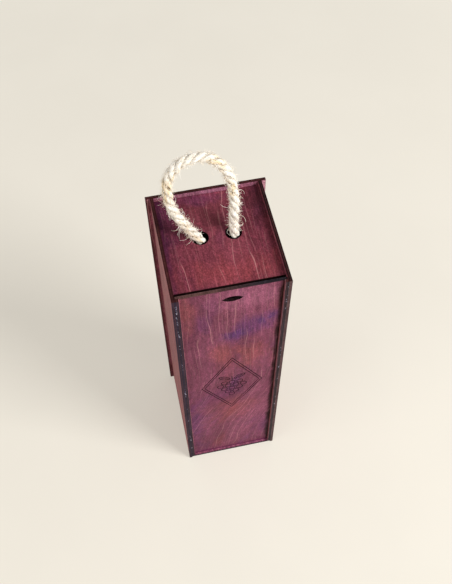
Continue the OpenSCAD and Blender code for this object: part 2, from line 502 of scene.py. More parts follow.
def make_glue():
    """Flecks of glue in a broken line, most of them near the top."""
    dice = random.Random(GLUE_SEED)
    seam_x = -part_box("left_side")[1].x / MM
    face_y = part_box("left_side")[0].y / MM
    lumps = bmesh.new()
    for side, low, high, count in GLUE_RUNS:
        for _ in range(count):
            across = side * (seam_x - GLUE_INSET + dice.gauss(0, GLUE_SPREAD))
            place = (across, face_y, dice.uniform(low, high))
            wide = dice.uniform(*GLUE_HALF_WIDE)
            thick = dice.uniform(*GLUE_HALF_THICK)
            long = GLUE_HALF_SHORT + GLUE_HALF_LONGER * dice.random() ** 2
            fleck(lumps, place, (wide, thick, long), dice)
    bmesh.ops.reverse_faces(lumps, faces=lumps.faces[:])
    mesh = bpy.data.meshes.new("glue_flecks")
    lumps.to_mesh(mesh)
    lumps.free()
    mesh.polygons.foreach_set("use_smooth", [True] * len(mesh.polygons))
    piece = link("glue_flecks", mesh)
    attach(piece, "box")
    return piece


# Materials

def paint(red, green, blue):
    """A screen colour as the linear colour that a shader takes."""
    def linear(value):
        share = value / 255
        return share / 12.92 if share <= 0.04045 else ((share + 0.055) / 1.055) ** 2.4
    return (linear(red), linear(green), linear(blue), 1.0)


class Graph:
    """Short calls for the nodes of one material or world."""

    def __init__(self, owner):
        owner.use_nodes = True
        self.owner = owner
        self.tree = owner.node_tree
        self.shader = self.tree.nodes.get("Principled BSDF")

    def feed(self, socket, value):
        """Links a node's output to a socket, or sets the socket to a plain value."""
        if isinstance(value, bpy.types.NodeSocket):
            self.tree.links.new(value, socket)
        elif value is not None:
            socket.default_value = value

    def node(self, kind, **settings):
        """A new node of that kind with those settings."""
        made = self.tree.nodes.new(kind)
        for key, value in settings.items():
            setattr(made, key, value)
        return made

    def math(self, operation, first, second=None, third=None, clamp=False):
        """One arithmetic step on up to three values."""
        made = self.node("ShaderNodeMath", operation=operation, use_clamp=clamp)
        for socket, value in zip(made.inputs, (first, second, third)):
            self.feed(socket, value)
        return made.outputs[0]

    def scaled(self, vector, factors):
        """A place with each part times its own factor."""
        made = self.node("ShaderNodeVectorMath", operation="MULTIPLY")
        self.feed(made.inputs[0], vector)
        self.feed(made.inputs[1], factors)
        return made.outputs[0]

    def moved(self, vector, offset):
        """A place shifted by offset."""
        made = self.node("ShaderNodeVectorMath", operation="ADD")
        self.feed(made.inputs[0], vector)
        self.feed(made.inputs[1], offset)
        return made.outputs[0]

    def distance(self, vector, point):
        """How far a place is from a point."""
        made = self.node("ShaderNodeVectorMath", operation="DISTANCE")
        self.feed(made.inputs[0], vector)
        self.feed(made.inputs[1], point)
        return made.outputs["Value"]

    def split(self, vector):
        """The three parts of a place or direction."""
        made = self.node("ShaderNodeSeparateXYZ")
        self.feed(made.inputs[0], vector)
        return made.outputs

    def join(self, *values):
        """A place made of three parts."""
        made = self.node("ShaderNodeCombineXYZ")
        for socket, value in zip(made.inputs, values):
            self.feed(socket, value)
        return made.outputs[0]

    def noise(self, vector, factors, detail=2.0, roughness=0.5):
        """Noise whose cells measure 1 / factors along each axis."""
        made = self.node("ShaderNodeTexNoise")
        self.feed(made.inputs["Vector"], self.scaled(vector, factors))
        self.feed(made.inputs["Scale"], 1.0)
        self.feed(made.inputs["Detail"], detail)
        self.feed(made.inputs["Roughness"], roughness)
        return made.outputs[0]

    def band(self, value, low, high, to_low=0.0, to_high=1.0):
        """A soft step from to_low to to_high as value goes from low to high."""
        made = self.node("ShaderNodeMapRange", interpolation_type="SMOOTHSTEP")
        for socket, given in zip(made.inputs, (value, low, high, to_low, to_high)):
            self.feed(socket, given)
        return made.outputs[0]

    def mix(self, share, first, second, blend="MIX"):
        """The first colour where share is 0 and the second where it is 1."""
        made = self.node("ShaderNodeMix", data_type="RGBA", blend_type=blend)
        self.feed(made.inputs[0], share)
        self.feed(made.inputs[6], first)
        self.feed(made.inputs[7], second)
        return made.outputs[2]

    def shaded(self, colour, level):
        """A colour times a level that changes over the surface."""
        grey = self.node("ShaderNodeCombineColor")
        for socket in grey.inputs:
            self.feed(socket, level)
        return self.mix(1.0, colour, grey.outputs[0], "MULTIPLY")

    def bump(self, height, strength, distance):
        """Fine relief that follows height, distance deep."""
        made = self.node("ShaderNodeBump")
        self.feed(made.inputs["Height"], height)
        made.inputs["Strength"].default_value = strength
        made.inputs["Distance"].default_value = distance * MM
        self.tree.links.new(made.outputs[0], self.shader.inputs["Normal"])

    def finish(self, colour, roughness, specular):
        """Feeds the shader and gives back the material."""
        self.feed(self.shader.inputs["Base Color"], colour)
        self.feed(self.shader.inputs["Roughness"], roughness)
        self.shader.inputs["Specular IOR Level"].default_value = specular
        return self.owner


def new_material(name):
    """The graph of a new material."""
    return Graph(bpy.data.materials.new(name))


def in_millimetres(graph):
    """The piece's own coordinates in millimetres, and the node they come from."""
    source = graph.node("ShaderNodeTexCoord")
    return graph.scaled(source.outputs["Object"], (1 / MM, 1 / MM, 1 / MM)), source


# Plywood: colours of the stained faces, each deep, light, cool and warm
LID_TONES = ((106, 54, 73), (132, 72, 95), (97, 54, 94), (128, 66, 70))
TOP_TONES = ((105, 47, 60), (130, 63, 76), (96, 48, 73), (127, 57, 58))
SIDE_TONES = ((130, 75, 81), (153, 94, 97), (114, 65, 84), (140, 80, 76))
RIGHT_TONES = ((126, 66, 79), (148, 86, 98), (110, 60, 84), (136, 74, 75))
BACK_TONES = ((126, 62, 78), (150, 84, 100), (110, 58, 84), (136, 70, 74))
FOOT_TONES = ((128, 70, 96), (146, 84, 108), (112, 60, 96), (140, 78, 92))
PALE_GRAIN = (212, 156, 154)

# Burnt edges: those that face forward or sideways, and those that face up
CHAR_FRONT = (40, 31, 46)
CHAR_TOP = (46, 17, 19)
RIGHT_CHAR_TOP = (26, 7, 11)
RIGHT_CHAR_FRONT = (76, 58, 60)
STRIP_CHAR_FRONT = (29, 26, 34)
LID_CHAR = (84, 60, 58)
LID_CHAR_FADE = (120, 148, 176)
LID_CHAR_FADE_X = (-25.0, 30.0)
MIDDLE_PLY = (84, 50, 48)
RIM_CHAR = (70, 26, 34)
RIM_REACH = 1.0
RIM_STRENGTH = 0.5
ENGRAVED = (24, 9, 18)

# Near-black painted shade over the char on the walls of cuts further than INNER_CUTS from
# the sheet's outline, and on the rope round the holes' axes and below the top panel's underside
SHADE_BLACK = (9, 4, 5)
SHADE_BLACK_STRENGTH = 0.85
INNER_CUTS = 6.0
HOLE_SHADE_DEPTH = 12.0
HOLE_SHADE_REACH = 12.0
HOLE_SHADE_FADE = 3.0

# The lid's foot, darker with scorch and painted shade, and painted highlights beside the front
# strips: their reach, and the shares of it over which they fade
FOOT_SCORCH_AND_SHADE = (96, 28, 72)
FOOT_SCORCH_AND_SHADE_REACH = 5.0
FOOT_SCORCH_AND_SHADE_STRENGTH = 0.75
MARGIN_HIGHLIGHT = (176, 116, 122)
ARRIS_HIGHLIGHT = (122, 84, 92)
ARRIS_REACH = 0.7
MARGIN_FADE = (0.35, 0.8)
ARRIS_FADE = (0.6, 1.0)

# Clouds in the stain, and clouds of painted shade and light where noted: place of the middle and
# half sizes, both across and along the grain, turn in degrees, tone and strength
VIOLET = (86, 46, 92)
INDIGO = (66, 44, 96)
PLUM = (98, 48, 82)
MURREY = (72, 30, 56)
SHADOW_MAROON = (36, 6, 8)
SHADE_UMBER = (66, 28, 24)
LIGHT_LILAC = (178, 122, 148)
HIGHLIGHT_BLUSH = (206, 156, 170)
RUST = (146, 76, 70)
PINK = (156, 92, 116)
SHADE_WINE = (70, 28, 34)
SCARLET = (142, 62, 64)
LID_CLOUDS = (
    ((20, 281), (34, 15), 33, VIOLET, 0.62),
    ((36, 292), (12, 8), 33, INDIGO, 0.66),
    ((4, 270), (13, 7), 20, INDIGO, 0.42),
    ((-24, 296), (9, 15), 0, VIOLET, 0.35),
    ((-17, 322), (8, 16), 0, PLUM, 0.45),
    ((-39, 316), (9, 32), 0, RUST, 0.38),
    ((-9, 238), (14, 22), 0, RUST, 0.42),
    ((20, 226), (14, 28), 0, RUST, 0.45),
    ((20, 327), (34, 18), 0, PINK, 0.50),
    ((-20, 148), (32, 16), 22, PLUM, 0.55),
    ((-40, 86), (12, 56), 0, VIOLET, 0.55),
    ((36, 40), (14, 40), 0, PLUM, 0.26),
    ((4, 112), (26, 28), 0, RUST, 0.30),
    # Painted shadow of the right strip on the lid, and painted shade where it runs behind the left
    # strip
    ((44.5, 172), (4.2, 600), 0, SHADOW_MAROON, 1.0),
    ((-46.5, 172), (2.4, 600), 0, SHADOW_MAROON, 1.0),
)
BACK_CLOUDS = (
    # Painted light on the back panel's band above the top panel, and a painted highlight on its right
    # lip
    ((0, 345), (70, 5), 0, LIGHT_LILAC, 0.65),
    ((52.8, 335), (2.6, 34), 0, HIGHLIGHT_BLUSH, 0.85),
    # Painted shade on the back panel's left lip, which the box keeps from the light
    ((-52.8, 173), (2.6, 500), 0, SHADE_UMBER, 0.75),
)
TOP_CLOUDS = (
    # Painted shade: under the rope behind the holes, and in the back right corner
    ((14, 24), (28, 22), 0, SHADE_WINE, 0.38),
    ((40, 36), (12, 24), 0, SHADE_WINE, 0.66),
    # Stain and painted shade along the back wall
    ((-8, 48), (24, 7), 0, PLUM, 0.60),
    # Painted shadow of the rope's left leg; the cloud after it is stain darkened by glue at the seam
    ((-38, 24), (11, 32), 0, MURREY, 0.66),
    ((-45.5, 0), (3.5, 70), 0, MURREY, 0.85),
    # Lighter towards the front: stain, and painted light where the rope's shade ends
    ((0, -32), (52, 14), 0, SCARLET, 0.45),
)

AXES = "XYZ"

# Shift in the noise from one board to the next
SHEET_SHIFT = (137.0, 61.0, 419.0)

# Below LEAN_TOP a leaning sheet's grain runs off to one side, by LEAN_SLOPE
# all the way and by LEAN_SWEEP more before LEAN_FOOT
LEAN_TOP = 190.0
LEAN_FOOT = 30.0
LEAN_SLOPE = 0.12
LEAN_SWEEP = 30.0


class Sheet:
    """How one panel is cut and stained.

    board: number of its stretch of grain
    axes: the axes across the grain, through the thickness and along the grain
    leans, sway: whether the grain leans, and how much its lines wander
    lined, streaky: strength of the pale lines and of the fine streaks
    """

    def __init__(self, node, board, axes, tones, clouds=(), char_top=CHAR_TOP, char_front=CHAR_FRONT,
                 leans=False, sway=1.0, lined=0.55, streaky=0.16):
        self.node = node
        self.board = board
        self.axes = [AXES.index(a) for a in axes]
        self.tones = tones
        self.clouds = clouds
        self.char_top = char_top
        self.char_front = char_front
        self.leans = leans
        self.sway = sway
        self.lined = lined
        self.streaky = streaky
        low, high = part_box(node)
        self.low = [value / MM for value in low]
        self.high = [value / MM for value in high]


SHEETS = (
    Sheet("back_panel", 0, "XYZ", BACK_TONES, BACK_CLOUDS),
    Sheet("left_side", 1, "YXZ", SIDE_TONES, streaky=0.26),
    Sheet("right_side", 2, "YXZ", RIGHT_TONES, char_top=RIGHT_CHAR_TOP, char_front=RIGHT_CHAR_FRONT),
    Sheet("bottom_panel", 3, "XZY", FOOT_TONES),
    # The top panel's front edge: char made near black with painted shade from the gap behind the lid
    Sheet("top_panel", 44, "XZY", TOP_TONES, TOP_CLOUDS, char_front=SHADE_BLACK, sway=1.9, lined=0.50),
    Sheet("left_front_strip", 5, "YXZ", SIDE_TONES),
    Sheet("right_front_strip", 6, "YXZ", SIDE_TONES, char_front=STRIP_CHAR_FRONT),
    Sheet("left_inner_rail", 7, "YXZ", SIDE_TONES),
    Sheet("right_inner_rail", 8, "YXZ", SIDE_TONES),
    Sheet("sliding_lid", 9, "XYZ", LID_TONES, LID_CLOUDS, LID_CHAR, LID_CHAR, True, lined=0.45),
)


def coordinates(graph, sheet):
    """Place in millimetres, place in the sheet's own stretch of grain, and facing."""
    place, source = in_millimetres(graph)
    parts = graph.split(place)
    across, through, along = (parts[axis] for axis in sheet.axes)
    if sheet.leans:
        below = graph.math("MAXIMUM", graph.math("SUBTRACT", LEAN_TOP, along), 0.0)
        across = graph.math("MULTIPLY_ADD", below, LEAN_SLOPE, across)
        across = graph.math("ADD", across, graph.band(along, LEAN_FOOT, LEAN_TOP, LEAN_SWEEP, 0.0))
    shift = [part * sheet.board for part in SHEET_SHIFT]
    place = graph.moved(graph.join(across, through, along), shift)
    return parts, place, graph.split(source.outputs["Normal"])


# Pale lines along the grain: distance between them, how far they wander and
# ripple, width as a share of the distance, cells of the mask that breaks
# them, and strength
STRONG_LINES = (8.5, 3.2, 1.1, 0.048, (0.10, 0.10, 0.011), 1.0)
FAINT_LINES = (3.4, 6.0, 1.1, 0.110, (0.17, 0.17, 0.016), 0.4)
LINES_BROKEN = (0.46, 0.64)

# Noises: cells in a millimetre across, through and along the grain, and how
# much finer detail they carry
WANDER = {"factors": (0.030, 0.030, 0.0045), "detail": 2}
RIPPLE = {"factors": (0.060, 0.060, 0.022), "detail": 1}
BROAD = {"factors": (0.022, 0.022, 0.011), "detail": 3, "roughness": 0.55}
COOL = {"factors": (0.045, 0.045, 0.02), "detail": 3}
WARM = {"factors": (0.035, 0.035, 0.012), "detail": 3}
RAGGED = {"factors": (0.09, 0.09, 0.06), "detail": 5, "roughness": 0.65}
STREAKS = {"factors": (0.60, 0.60, 0.040), "detail": 4, "roughness": 0.65}
MOTTLE = {"factors": (0.45, 0.45, 0.18), "detail": 4, "roughness": 0.72}
DOTS = {"factors": (1.1, 1.1, 0.8), "detail": 2, "roughness": 0.6}
CHAR_STREAKS = {"factors": (1.3, 0.30, 1.3), "detail": 4, "roughness": 0.7}
CHAR_CLOUDS = {"factors": (0.16, 0.16, 0.05), "detail": 3, "roughness": 0.6}
MARGIN_HIGHLIGHT_BREAKS = {"factors": (0.2, 0.2, 0.07), "detail": 3}
ARRIS_HIGHLIGHT_BREAKS = {"factors": (0.2, 0.2, 0.09), "detail": 3}
COOL_SHIFT = (37.0, 11.0, 53.0)
WARM_SHIFT = (91.0, 7.0, 19.0)

# Soft steps: from and to, and the values there where they aren't 0 and 1
BROAD_STEP = (0.34, 0.68)
COOL_STEP = (0.52, 0.78, 0.0, 0.65)
WARM_STEP = (0.54, 0.80, 0.0, 0.6)
RING_SHADE = (0.0, 0.5, 1.06, 0.93)
STREAK_STEP = (0.27, 0.73)
MOTTLE_SHADE = (0.27, 0.73, 0.74, 1.26)
DOT_SHADE = (0.36, 0.66, 0.78, 1.30)
DOT_GLINT = (0.60, 0.74, 1.0, 1.35)
MIDDLE_PLY_STEP = (0.40, 0.60, 0.30, 0.0)
CHAR_STREAK_SHADE = (0.28, 0.72, 0.55, 1.55)
CHAR_CLOUD_SHADE = (0.3, 0.7, 0.72, 1.30)
MARGIN_HIGHLIGHT_BREAK_STEP = (0.30, 0.52, 0.15, 0.75)
ARRIS_HIGHLIGHT_BREAK_STEP = (0.32, 0.55, 0.2, 0.85)
WOOD_ROUGHNESS = (0.3, 0.7, 0.50, 0.66)
WOOD_SPECULAR = 0.07

# Strength and depth of the fine relief in the wood
WOOD_BUMP = (0.35, 0.08)

# How far a ragged rim wanders in and out of a cloud's oval, and the step
# from the cloud's middle, where it has its full strength, to its rim
CLOUD_RAGGED = 2.6
CLOUD_STEP = (0.15, 1.45)

# Shares of facing over which a surface comes to count as facing up, as a
# large face, or as facing forward
UPWARD = (0.4, 0.8)
LARGE_FACE = (0.62, 0.82)
FRONTWARD = (0.5, 0.8)

# Depths of the engraving's floor, and depths that are past it
ENGRAVING_FLOOR = (0.1, 0.25)
ENGRAVING_PAST = (0.9, 1.1)


def grain_lines(graph, place, kind, more):
    """Thin lines that follow the grain, from 0 to 1, and the growth rings, from 0 to 0.5."""
    gap, sway, rippled, thin, masked, strength = kind
    across = graph.split(place)[0]
    wander = graph.noise(place, **WANDER)
    ripple = graph.noise(place, **RIPPLE)
    phase = graph.math("MULTIPLY_ADD", across, 1 / gap, graph.math("MULTIPLY", wander, sway * more))
    phase = graph.math("MULTIPLY_ADD", ripple, rippled, phase)
    rings = graph.math("PINGPONG", phase, 0.5)
    crest = graph.band(rings, 0.0, thin, strength, 0.0)
    broken = graph.band(graph.noise(place, masked, detail=2), *LINES_BROKEN)
    return graph.math("MULTIPLY", crest, broken), rings


def add_cloud(graph, sheet, colour, parts, cloud, ragged):
    """Lays a cloud's tone over a turned oval place with a ragged rim: stain, or painted shade or
    light.
    """
    (mid_across, mid_along), (half_across, half_along), turn, tone, strength = cloud
    cosine = math.cos(math.radians(turn))
    sine = math.sin(math.radians(turn))
    across = graph.math("SUBTRACT", parts[sheet.axes[0]], mid_across)
    along = graph.math("SUBTRACT", parts[sheet.axes[2]], mid_along)
    first = graph.math("MULTIPLY_ADD", along, sine / half_across,
                       graph.math("MULTIPLY", across, cosine / half_across))
    second = graph.math("MULTIPLY_ADD", along, cosine / half_along,
                        graph.math("MULTIPLY", across, -sine / half_along))
    squared = graph.math("MULTIPLY_ADD", first, first, graph.math("MULTIPLY", second, second))
    far = graph.math("ADD", graph.math("SQRT", squared), CLOUD_RAGGED / 2)
    far = graph.math("MULTIPLY_ADD", ragged, -CLOUD_RAGGED, far)
    share = graph.band(far, *CLOUD_STEP, strength, 0.0)
    return graph.mix(share, colour, paint(*tone))


def stained_faces(graph, sheet, place, parts):
    """Colour of the sheet's two large faces, and the streaks that its bump follows."""
    deep, light, cool, warm = (paint(*tone) for tone in sheet.tones)
    broad = graph.noise(place, **BROAD)
    patchy = graph.noise(graph.moved(place, COOL_SHIFT), **COOL)
    other = graph.noise(graph.moved(place, WARM_SHIFT), **WARM)
    colour = graph.mix(graph.band(broad, *BROAD_STEP), deep, light)
    colour = graph.mix(graph.band(patchy, *COOL_STEP), colour, cool)
    colour = graph.mix(graph.band(other, *WARM_STEP), colour, warm)
    if sheet.clouds:
        ragged = graph.noise(place, **RAGGED)
        for cloud in sheet.clouds:
            colour = add_cloud(graph, sheet, colour, parts, cloud, ragged)
    streaks = graph.noise(place, **STREAKS)
    mottle = graph.noise(place, **MOTTLE)
    strong, rings = grain_lines(graph, place, STRONG_LINES, sheet.sway)
    faint, _ = grain_lines(graph, place, FAINT_LINES, sheet.sway)
    colour = graph.shaded(colour, graph.band(rings, *RING_SHADE))
    streak_shade = graph.band(streaks, *STREAK_STEP, 1 - sheet.streaky, 1 + sheet.streaky)
    colour = graph.shaded(colour, streak_shade)
    colour = graph.shaded(colour, graph.band(mottle, *MOTTLE_SHADE))
    dots = graph.noise(place, **DOTS)
    colour = graph.shaded(colour, graph.band(dots, *DOT_SHADE))
    colour = graph.shaded(colour, graph.band(dots, *DOT_GLINT))
    lines = graph.math("MAXIMUM", strong, faint)
    colour = graph.mix(graph.math("MULTIPLY", lines, sheet.lined), colour, paint(*PALE_GRAIN))
    return colour, streaks


def near_edges(graph, sheet, parts, reach):
    """1 at the rim of the sheet's large faces and 0 further in than reach."""
    shares = []
    for axis in (sheet.axes[0], sheet.axes[2]):
        from_low = graph.math("SUBTRACT", parts[axis], sheet.low[axis])
        from_high = graph.math("SUBTRACT", sheet.high[axis], parts[axis])
        shares.append(graph.math("MINIMUM", from_low, from_high))
    return graph.band(graph.math("MINIMUM", *shares), 0.0, reach, 1.0, 0.0)


def burnt_edges(graph, sheet, place, parts, facing):
    """Colour of the laser-cut edges: charred, streaked through the sheet, the middle ply browner."""
    upward = graph.band(graph.math("ABSOLUTE", facing[2]), *UPWARD)
    char = graph.mix(upward, paint(*sheet.char_front), paint(*sheet.char_top))
    axis = sheet.axes[1]
    middle = (sheet.low[axis] + sheet.high[axis]) / 2
    off_middle = graph.math("ABSOLUTE", graph.math("SUBTRACT", parts[axis], middle))
    ply = graph.band(off_middle, *MIDDLE_PLY_STEP)
    char = graph.mix(ply, char, paint(*MIDDLE_PLY))
    streaks = graph.noise(place, **CHAR_STREAKS)
    clouds = graph.noise(place, **CHAR_CLOUDS)
    char = graph.shaded(char, graph.band(streaks, *CHAR_STREAK_SHADE))
    return graph.shaded(char, graph.band(clouds, *CHAR_CLOUD_SHADE))


def engraved(graph, sheet, parts, facing):
    """1 on the floor of the engraving in the front of the lid."""
    face = sheet.low[1]
    deep = graph.band(parts[1], *(face + depth for depth in ENGRAVING_FLOOR))
    shallow = graph.band(parts[1], *(face + depth for depth in ENGRAVING_PAST), 1.0, 0.0)
    frontward = graph.band(graph.math("MULTIPLY", facing[1], -1.0), *FRONTWARD)
    return graph.math("MULTIPLY", graph.math("MULTIPLY", deep, shallow), frontward)


def lid_char(graph, parts, char):
    """The lid's burnt edge is browner at its left end and blacker at its right."""
    rightward = graph.band(parts[0], *LID_CHAR_FADE_X)
    fade = graph.mix(rightward, paint(255, 255, 255), paint(*LID_CHAR_FADE))
    return graph.mix(1.0, char, fade, "MULTIPLY")


def lid_marks(graph, sheet, parts, place, facing, faces):
    """Scorch and painted shade at the lid's foot, a painted highlight by its left strip, burnt
    engraving.
    """
    foot = sheet.low[2]
    # Scorch with painted shade in the crease along the lid's foot
    foot_darkening = graph.band(parts[2], foot, foot + FOOT_SCORCH_AND_SHADE_REACH, FOOT_SCORCH_AND_SHADE_STRENGTH, 0.0)
    faces = graph.mix(foot_darkening, faces, paint(*FOOT_SCORCH_AND_SHADE))
    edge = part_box("left_front_strip")[1].x / MM
    beside = graph.math("ABSOLUTE", graph.math("SUBTRACT", parts[0], edge + ARRIS_REACH / 2))
    # A painted highlight beside the left strip, broken up by noise
    broken_highlight = graph.band(graph.noise(place, **MARGIN_HIGHLIGHT_BREAKS), *MARGIN_HIGHLIGHT_BREAK_STEP)
    line = graph.band(beside, *(ARRIS_REACH * share for share in MARGIN_FADE), 1.0, 0.0)
    faces = graph.mix(graph.math("MULTIPLY", line, broken_highlight), faces, paint(*MARGIN_HIGHLIGHT))
    return graph.mix(engraved(graph, sheet, parts, facing), faces, paint(*ENGRAVED))


def inner_cut_shade(graph, sheet, parts, char):
    """Char on the walls of the finger slot, rope holes and engraving, made near black with painted
    shade.
    """
    outer = near_edges(graph, sheet, parts, INNER_CUTS)
    share = graph.math("MULTIPLY_ADD", outer, -SHADE_BLACK_STRENGTH, SHADE_BLACK_STRENGTH)
    return graph.mix(share, char, paint(*SHADE_BLACK))


def strip_highlight(graph, sheet, parts, place, char):
    """A painted highlight along the inner corner of the right front strip."""
    from_edge = graph.math("SUBTRACT", parts[0], sheet.low[0])
    broken_highlight = graph.band(graph.noise(place, **ARRIS_HIGHLIGHT_BREAKS), *ARRIS_HIGHLIGHT_BREAK_STEP)
    line = graph.band(from_edge, *(ARRIS_REACH * share for share in ARRIS_FADE), 1.0, 0.0)
    return graph.mix(graph.math("MULTIPLY", line, broken_highlight), char, paint(*ARRIS_HIGHLIGHT))


def plywood(sheet):
    """Stained plywood with burnt edges, its grain its own on every panel."""
    graph = new_material(f"plywood_{sheet.node}")
    parts, place, facing = coordinates(graph, sheet)
    faces, streaks = stained_faces(graph, sheet, place, parts)
    rim = graph.math("MULTIPLY", near_edges(graph, sheet, parts, RIM_REACH), RIM_STRENGTH)
    faces = graph.mix(rim, faces, paint(*RIM_CHAR))
    char = burnt_edges(graph, sheet, place, parts, facing)
    if sheet.node == "sliding_lid":
        faces = lid_marks(graph, sheet, parts, place, facing, faces)
        char = lid_char(graph, parts, char)
    # Painted shade: near black on the walls of the lid's and top panel's inner cuts
    if sheet.node in ("sliding_lid", "top_panel"):
        char = inner_cut_shade(graph, sheet, parts, char)
    # A painted highlight on the right front strip's inner corner
    if sheet.node == "right_front_strip":
        char = strip_highlight(graph, sheet, parts, place, char)
    through = graph.math("ABSOLUTE", facing[sheet.axes[1]])
    colour = graph.mix(graph.band(through, *LARGE_FACE), char, faces)
    graph.bump(streaks, *WOOD_BUMP)
    return graph.finish(colour, graph.band(streaks, *WOOD_ROUGHNESS), WOOD_SPECULAR)


# Rope colours
ROPE_WHITE = (255, 253, 248)
ROPE_CREAM = (250, 244, 232)
ROPE_GOLD = (240, 212, 162)
ROPE_STRAW = (236, 222, 194)
ROPE_BLEACHED = (255, 253, 246)
ROPE_DASH = (176, 164, 134)
ROPE_SPECK = (168, 146, 112)
ROPE_PRICK = (84, 62, 40)
ROPE_GROOVE_SHADE = (178, 158, 122)
GOLD_STRENGTH = 0.75

# Golden, speckled places on the rope: middle and reach, and the share of the reach
# that is fully golden
GOLDEN_PLACES = (((-38, 23, 388), 15), ((4, 29, 405), 12))
GOLDEN_CORE = 0.4

# Noises in the straightened rope: cells in a millimetre, across it twice and along it
FINE = {"factors": (2.2, 2.2, 0.22), "detail": 4, "roughness": 0.7}
YARNS = {"factors": (0.55, 0.55, 0.07), "detail": 3}
SPECKS = {"factors": (1.5, 1.5, 0.5), "detail": 3, "roughness": 0.7}
DASHES = {"factors": (1.0, 1.0, 0.24), "detail": 3, "roughness": 0.6}
PATCHES = {"factors": (0.12, 0.12, 0.050), "detail": 3, "roughness": 0.6}

# Soft steps in the rope, as in the wood
PATCH_STEP = (0.50, 0.66)
GOLDEN_YARNS = (0.35, 0.60)
CREAM_STEP = (0.35, 0.7)
STRAW_STEP = (0.44, 0.74, 0.0, 0.6)
BLEACHED_STEP = (0.2, 0.42, 0.7, 0.0)
DASH_STEP = (0.56, 0.66, 0.0, 0.62)
SPECK_STEP = (0.60, 0.72, 0.0, 0.55)
PRICK_VALLEY = (0.12, 0.60)
PRICK_DASHES = (0.47, 0.55)
GROOVE_SHADE_STEP = (0.66, 0.98, 0.0, 0.48)

# Share of the pricks shown where the rope isn't golden
PRICKS_ANYWHERE = 0.35

ROPE_ROUGHNESS = 0.9
ROPE_SPECULAR = 0.05
ROPE_BUMP = (0.6, 0.25)

# Loose fibres and glue: cells of their noise, two tones, and gloss
TWO_TONE_STEP = (0.35, 0.65)
FIBRE_CELLS = {"factors": (0.3, 0.3, 0.3), "detail": 2}
FIBRE_WHITE = (255, 252, 246)
FIBRE_STRAW = (246, 232, 210)
FIBRE_ROUGHNESS = 0.7
FIBRE_SPECULAR = 0.3
GLUE_CELLS = {"factors": (1.2, 1.2, 0.5), "detail": 3}
GLUE_MILKY = (190, 186, 204)
GLUE_CLEAR = (112, 106, 134)
GLUE_ROUGHNESS = 0.45
GLUE_SPECULAR = 0.4
GLUE_BUMP = (0.5, 0.1)


def hole_shade_on_rope(graph, place):
    """1 round the holes' axes, from a little under the top panel up, for painted shade, and 0
    elsewhere.
    """
    x, y, z = graph.split(place)
    folded = graph.join(graph.math("ABSOLUTE", x), y, 0.0)
    away = graph.distance(folded, (HOLE_X, HOLE_Y, 0.0))
    inside = graph.band(away, HOLE_SHADE_REACH - HOLE_SHADE_FADE, HOLE_SHADE_REACH, 1.0, 0.0)
    high = graph.band(z, UNDER_Z - HOLE_SHADE_DEPTH, UNDER_Z - HOLE_SHADE_DEPTH / 2)
    return graph.math("MULTIPLY", inside, high)


def rope_material(name, shaded_in_holes):
    """Pale plant fibre, streaked along the rope, with painted shade in the valleys between its
    strands.
    """
    graph = new_material(name)
    straight = graph.node("ShaderNodeAttribute", attribute_name="straight").outputs["Vector"]
    valley = graph.node("ShaderNodeAttribute", attribute_name="valley").outputs["Fac"]
    fine = graph.noise(straight, **FINE)
    yarns = graph.noise(straight, **YARNS)
    specks = graph.noise(straight, **SPECKS)
    dashes = graph.noise(straight, **DASHES)
    place, _ = in_millimetres(graph)
    golden = graph.band(graph.noise(straight, **PATCHES), *PATCH_STEP)
    for middle, reach in GOLDEN_PLACES:
        near = graph.band(graph.distance(place, middle), reach * GOLDEN_CORE, reach, 1.0, 0.0)
        near = graph.math("MULTIPLY", near, graph.band(yarns, *GOLDEN_YARNS))
        golden = graph.math("MAXIMUM", golden, near)
    colour = graph.mix(graph.band(yarns, *CREAM_STEP), paint(*ROPE_WHITE), paint(*ROPE_CREAM))
    colour = graph.mix(graph.math("MULTIPLY", golden, GOLD_STRENGTH), colour, paint(*ROPE_GOLD))
    colour = graph.mix(graph.band(fine, *STRAW_STEP), colour, paint(*ROPE_STRAW))
    colour = graph.mix(graph.band(fine, *BLEACHED_STEP), colour, paint(*ROPE_BLEACHED))
    colour = graph.mix(graph.band(dashes, *DASH_STEP), colour, paint(*ROPE_DASH))
    colour = graph.mix(graph.band(specks, *SPECK_STEP), colour, paint(*ROPE_SPECK))
    # Dark pricks in the valleys: the rope's own specks, and painted shade in the gaps between strands
    low = graph.band(valley, *PRICK_VALLEY)
    pricks = graph.math("MULTIPLY", low, graph.band(dashes, *PRICK_DASHES))
    shown = graph.math("MULTIPLY_ADD", golden, 1 - PRICKS_ANYWHERE, PRICKS_ANYWHERE)
    colour = graph.mix(graph.math("MULTIPLY", pricks, shown), colour, paint(*ROPE_PRICK))
    # Painted shade in the valleys between the strands
    colour = graph.mix(graph.band(valley, *GROOVE_SHADE_STEP), colour, paint(*ROPE_GROOVE_SHADE))
    # Knots: near-black painted shade in the holes and just under the top panel
    if shaded_in_holes:
        colour = graph.mix(hole_shade_on_rope(graph, place), colour, paint(*SHADE_BLACK))
    graph.bump(fine, *ROPE_BUMP)
    return graph.finish(colour, ROPE_ROUGHNESS, ROPE_SPECULAR)


def two_toned(graph, cells, first, second):
    """A colour that wanders between first and second, and the noise behind it."""
    place, _ = in_millimetres(graph)
    tone = graph.noise(place, **cells)
    return graph.mix(graph.band(tone, *TWO_TONE_STEP), paint(*first), paint(*second)), tone


def fibre_material():
    """Single bleached hairs, some paler than others."""
    graph = new_material("loose_fibres")
    colour, _ = two_toned(graph, FIBRE_CELLS, FIBRE_WHITE, FIBRE_STRAW)
    return graph.finish(colour, FIBRE_ROUGHNESS, FIBRE_SPECULAR)


